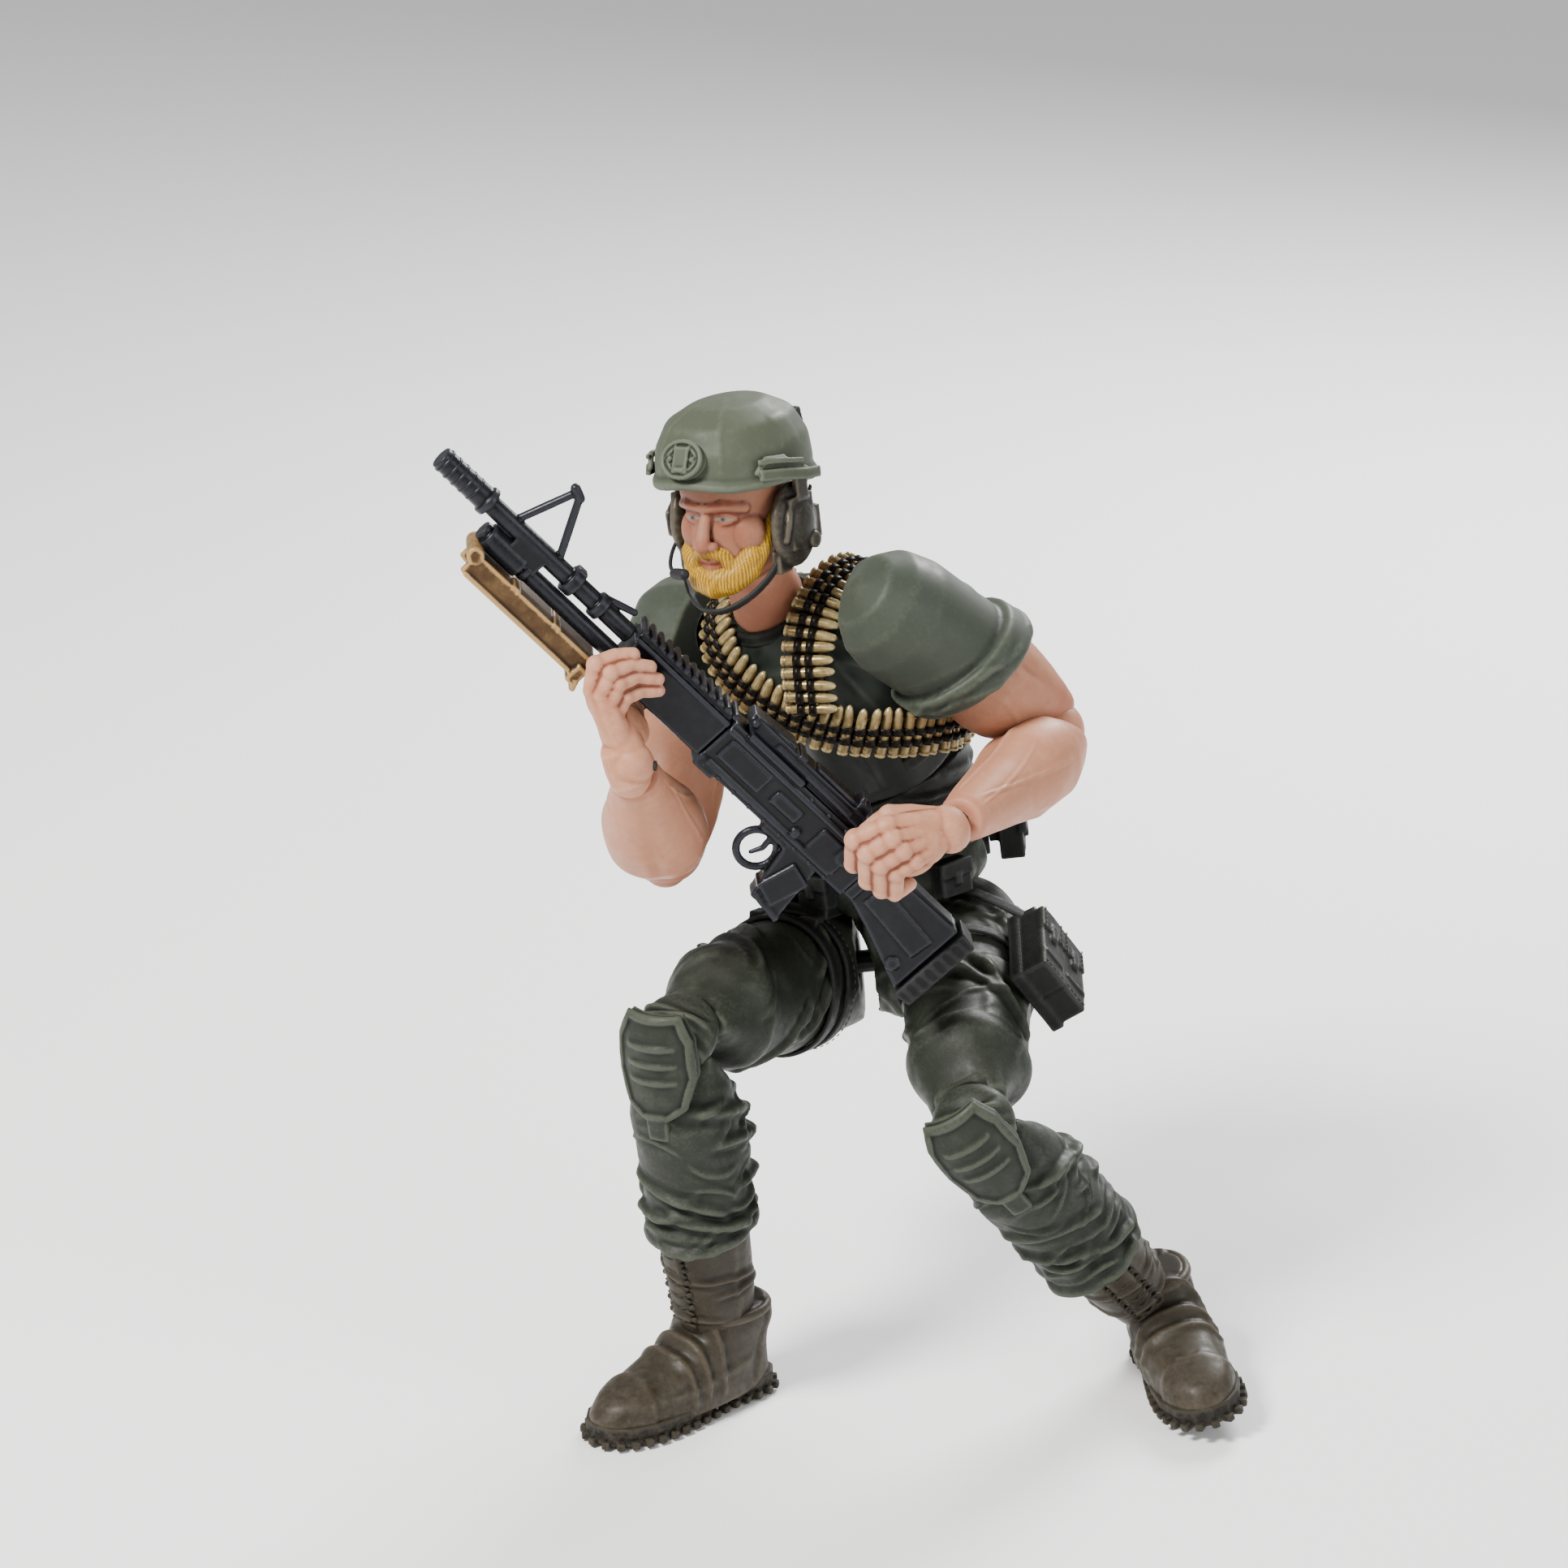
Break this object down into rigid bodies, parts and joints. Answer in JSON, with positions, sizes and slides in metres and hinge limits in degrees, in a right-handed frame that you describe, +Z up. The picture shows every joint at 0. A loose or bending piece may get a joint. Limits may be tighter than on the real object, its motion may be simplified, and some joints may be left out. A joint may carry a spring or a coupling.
{
  "type": "posable soldier figure",
  "caption": "Crouching jointed toy soldier with helmet, beard, crossed cartridge belts, knee pads and boots, holding a long belt-fed machine gun with a folding bipod.",
  "frame": {"origin": "centre of the footprint on the floor, in the crouching pose", "axes": "+Z up, the figure faces -Y, +X toward the figure's left side"},
  "size_m": [0.093, 0.0576, 0.1217],
  "materials": {
    "skin": "matte flesh plastic with painted shading",
    "shirt": "matte grey-green soft plastic",
    "trousers": "matte dark olive plastic, dry-brushed",
    "vest": "matte near-black plastic",
    "helmet": "matte sage-green plastic",
    "boots": "satin brown-olive plastic",
    "black": "satin black plastic",
    "gun": "semi-gloss blue-black plastic",
    "bipod": "brown painted plastic",
    "rounds": "metallic brass paint on plastic",
    "peg": "matte moulded plastic"
  },
  "bodies": {
    "pelvis": {"pelvis": "trousers", "waist_peg": "peg", "belt": "black", "back_pouch": "black"},
    "abdomen": {"abdomen": "vest", "chest_peg": "peg"},
    "chest": {"chest": "shirt", "bandolier_left": "rounds", "bandolier_right": "rounds"},
    "neck": {"neck": "skin"},
    "head": {"head": "skin", "helmet": "helmet", "helmet_shroud": "helmet", "helmet_pack": "black", "ear_cup_left": "black", "ear_cup_right": "black", "chin_strap": "black"},
    "gun_bipod": {"gun_bipod": "bipod"},
    "left_shoulder_hub": {"left_shoulder_hub": "peg"},
    "left_shoulder_cap": {"left_shoulder_cap": "shirt"},
    "left_bicep": {"left_bicep": "skin"},
    "left_elbow_link": {"left_elbow_link": "skin"},
    "left_forearm": {"left_forearm": "skin"},
    "left_wrist_peg": {"left_wrist_peg": "skin"},
    "left_hand": {"left_hand": "skin"},
    "left_hip_hub": {"left_hip_hub": "peg"},
    "left_thigh": {"left_thigh": "trousers", "left_drop_pouch": "trousers", "left_pouch_strap": "black"},
    "left_knee_link": {"left_knee_link": "trousers"},
    "left_shin": {"left_shin": "trousers", "left_knee_pad": "trousers"},
    "left_boot_shaft": {"left_boot_shaft": "boots"},
    "left_ankle_peg": {"left_ankle_peg": "black"},
    "left_foot": {"left_foot": "boots"},
    "right_shoulder_hub": {"right_shoulder_hub": "peg"},
    "right_shoulder_cap": {"right_shoulder_cap": "shirt"},
    "right_bicep": {"right_bicep": "skin"},
    "right_elbow_link": {"right_elbow_link": "skin"},
    "right_forearm": {"right_forearm": "skin"},
    "right_wrist_peg": {"right_wrist_peg": "skin"},
    "right_hand": {"right_hand": "skin", "gun_receiver": "gun", "gun_barrel": "gun", "gun_handguard": "gun", "gun_gas_tube": "gun", "gun_feed_cover": "gun", "gun_grip": "gun", "gun_stock": "gun", "gun_butt_pad": "black"},
    "right_hip_hub": {"right_hip_hub": "peg"},
    "right_thigh": {"right_thigh": "trousers", "right_thigh_strap": "black", "right_holster": "black"},
    "right_knee_link": {"right_knee_link": "trousers"},
    "right_shin": {"right_shin": "trousers", "right_knee_pad": "trousers"},
    "right_boot_shaft": {"right_boot_shaft": "boots"},
    "right_ankle_peg": {"right_ankle_peg": "black"},
    "right_foot": {"right_foot": "boots"}
  },
  "joints": [
    {"name": "waist_turn", "type": "hinge", "parent": "pelvis", "child": "abdomen", "pos_m": [0.00463, 0.01904, 0.06028], "axis": [-0.119, 0.0496, 0.9917], "range_deg": [-11.1, 25]},
    {"name": "chest_tilt", "type": "hinge", "parent": "abdomen", "child": "chest", "pos_m": [0.0042, 0.015, 0.0719], "axis": [0.7792, -0.5786, 0.2408], "range_deg": [-5.3, 12]},
    {"name": "neck_nod", "type": "hinge", "parent": "chest", "child": "neck", "pos_m": [-0.00899, 0.00662, 0.09443], "axis": [-0.8598, 0.5103, -0.0168], "range_deg": [-7.8, 15]},
    {"name": "head_turn", "type": "hinge", "parent": "neck", "child": "head", "pos_m": [-0.0123, 0.0014, 0.1055], "axis": [-0.2613, -0.4114, 0.8732], "range_deg": [-31.3, 60]},
    {"name": "left_shoulder_swing", "type": "hinge", "parent": "chest", "child": "left_shoulder_hub", "pos_m": [0.0058, -0.0009, 0.0958], "axis": [-0.7792, 0.5786, -0.2408], "range_deg": [0, 43.4]},
    {"name": "left_shoulder_raise", "type": "hinge", "parent": "left_shoulder_hub", "child": "left_shoulder_cap", "pos_m": [0.0058, -0.0009, 0.0958], "axis": [-0.2781, -0.6635, -0.6946], "range_deg": [-1.5, 14.1]},
    {"name": "left_bicep_turn", "type": "hinge", "parent": "left_shoulder_cap", "child": "left_bicep", "pos_m": [0.0058, -0.0009, 0.0958], "axis": [-0.704, -0.3511, 0.6173], "range_deg": [0, 60]},
    {"name": "left_elbow_upper", "type": "hinge", "parent": "left_bicep", "child": "left_elbow_link", "pos_m": [0.02253, 0.00744, 0.08113], "axis": [0.7079, -0.4165, 0.5705], "range_deg": [-1.5, 60]},
    {"name": "left_elbow_lower", "type": "hinge", "parent": "left_elbow_link", "child": "left_forearm", "pos_m": [0.02387, 0.00416, 0.07706], "axis": [0.7079, -0.4165, 0.5705], "range_deg": [0, 60]},
    {"name": "left_wrist_turn", "type": "hinge", "parent": "left_forearm", "child": "left_wrist_peg", "pos_m": [0.0113, -0.0184, 0.0762], "axis": [0.4866, 0.873, 0.0335], "range_deg": [-60, 60]},
    {"name": "left_wrist_bend", "type": "hinge", "parent": "left_wrist_peg", "child": "left_hand", "pos_m": [0.0113, -0.0184, 0.0762], "axis": [-0.5066, 0.2507, 0.8249], "range_deg": [-1.5, 45]},
    {"name": "left_hip_swing", "type": "hinge", "parent": "pelvis", "child": "left_hip_hub", "pos_m": [0.0145, 0.0181, 0.0482], "axis": [0.9921, -0.0346, 0.1208], "range_deg": [-13.5, 26.6]},
    {"name": "left_hip_spread", "type": "hinge", "parent": "left_hip_hub", "child": "left_thigh", "pos_m": [0.0145, 0.0181, 0.0482], "axis": [0.1256, 0.246, -0.9611], "range_deg": [-25.5, 4.7]},
    {"name": "left_knee_upper", "type": "hinge", "parent": "left_thigh", "child": "left_knee_link", "pos_m": [0.01431, -0.012, 0.04047], "axis": [0.8265, -0.1449, 0.544], "range_deg": [-60, 14.9]},
    {"name": "left_knee_lower", "type": "hinge", "parent": "left_knee_link", "child": "left_shin", "pos_m": [0.01749, -0.0154, 0.03473], "axis": [0.8265, -0.1449, 0.544], "range_deg": [-40.5, 14.9]},
    {"name": "left_boot_turn", "type": "hinge", "parent": "left_shin", "child": "left_boot_shaft", "pos_m": [0.02941, -0.00731, 0.01877], "axis": [-0.5545, -0.3765, 0.7421], "range_deg": [-60, 60]},
    {"name": "left_ankle_pitch", "type": "hinge", "parent": "left_boot_shaft", "child": "left_ankle_peg", "pos_m": [0.0362, -0.0027, 0.00969], "axis": [0.7476, 0.1664, 0.643], "range_deg": [-7.6, 35]},
    {"name": "left_ankle_rock", "type": "hinge", "parent": "left_ankle_peg", "child": "left_foot", "pos_m": [0.03838, -0.00243, 0.00709], "axis": [-0.1777, 0.9829, -0.0478], "range_deg": [-7.6, 16.5]},
    {"name": "right_shoulder_swing", "type": "hinge", "parent": "chest", "child": "right_shoulder_hub", "pos_m": [-0.0187, 0.0182, 0.0868], "axis": [-0.7792, 0.5786, -0.2408], "range_deg": [-2, 0]},
    {"name": "right_shoulder_raise", "type": "hinge", "parent": "right_shoulder_hub", "child": "right_shoulder_cap", "pos_m": [-0.0187, 0.0182, 0.0868], "axis": [-0.576, -0.5098, 0.639], "range_deg": [-7.3, 0]},
    {"name": "right_bicep_turn", "type": "hinge", "parent": "right_shoulder_cap", "child": "right_bicep", "pos_m": [-0.0187, 0.0182, 0.0868], "axis": [-0.0824, -0.7416, -0.6658], "range_deg": [-7.3, 0]},
    {"name": "right_elbow_upper", "type": "hinge", "parent": "right_bicep", "child": "right_elbow_link", "pos_m": [-0.02091, -0.00173, 0.06891], "axis": [0.9893, -0.1418, 0.0355], "range_deg": [-10, 4.5]},
    {"name": "right_elbow_lower", "type": "hinge", "parent": "right_elbow_link", "child": "right_forearm", "pos_m": [-0.02169, -0.00707, 0.06909], "axis": [0.9893, -0.1418, 0.0355], "range_deg": [-15.3, 4.5]},
    {"name": "right_wrist_turn", "type": "hinge", "parent": "right_forearm", "child": "right_wrist_peg", "pos_m": [-0.0244, -0.022, 0.0851], "axis": [0.123, 0.6769, -0.7257], "range_deg": [-10, 0]},
    {"name": "right_wrist_bend", "type": "hinge", "parent": "right_wrist_peg", "child": "right_hand", "pos_m": [-0.0244, -0.022, 0.0851], "axis": [0.9872, -0.1584, 0.0196], "range_deg": [0, 25.5]},
    {"name": "right_hip_swing", "type": "hinge", "parent": "pelvis", "child": "right_hip_hub", "pos_m": [-0.0019, 0.0186, 0.0446], "axis": [0.9921, -0.0346, 0.1208], "range_deg": [-3.3, 60]},
    {"name": "right_hip_spread", "type": "hinge", "parent": "right_hip_hub", "child": "right_thigh", "pos_m": [-0.0019, 0.0186, 0.0446], "axis": [0.1097, -0.2303, -0.9669], "range_deg": [-6, 25.5]},
    {"name": "right_knee_upper", "type": "hinge", "parent": "right_thigh", "child": "right_knee_link", "pos_m": [-0.01739, -0.01011, 0.04968], "axis": [0.8821, -0.4697, 0.035], "range_deg": [-60, 10.2]},
    {"name": "right_knee_lower", "type": "hinge", "parent": "right_knee_link", "child": "right_shin", "pos_m": [-0.01961, -0.01469, 0.04432], "axis": [0.8821, -0.4697, 0.035], "range_deg": [-46.5, 10.2]},
    {"name": "right_boot_turn", "type": "hinge", "parent": "right_shin", "child": "right_boot_shaft", "pos_m": [-0.01695, -0.01125, 0.02326], "axis": [-0.1241, -0.1601, 0.9793], "range_deg": [-60, 60]},
    {"name": "right_ankle_pitch", "type": "hinge", "parent": "right_boot_shaft", "child": "right_ankle_peg", "pos_m": [-0.0152, -0.009, 0.0095], "axis": [0.6707, -0.7408, -0.0361], "range_deg": [-11.9, 29.8]},
    {"name": "right_ankle_rock", "type": "hinge", "parent": "right_ankle_peg", "child": "right_foot", "pos_m": [-0.01528, -0.00891, 0.0061], "axis": [0.7413, 0.6712, 0], "range_deg": [-9.8, 8.9]},
    {"name": "bipod_fold", "type": "hinge", "parent": "right_hand", "child": "gun_bipod", "pos_m": [-0.04165, -0.01868, 0.10936], "axis": [0.0705, -0.9947, -0.0744], "range_deg": [-90, 0]}
  ]
}
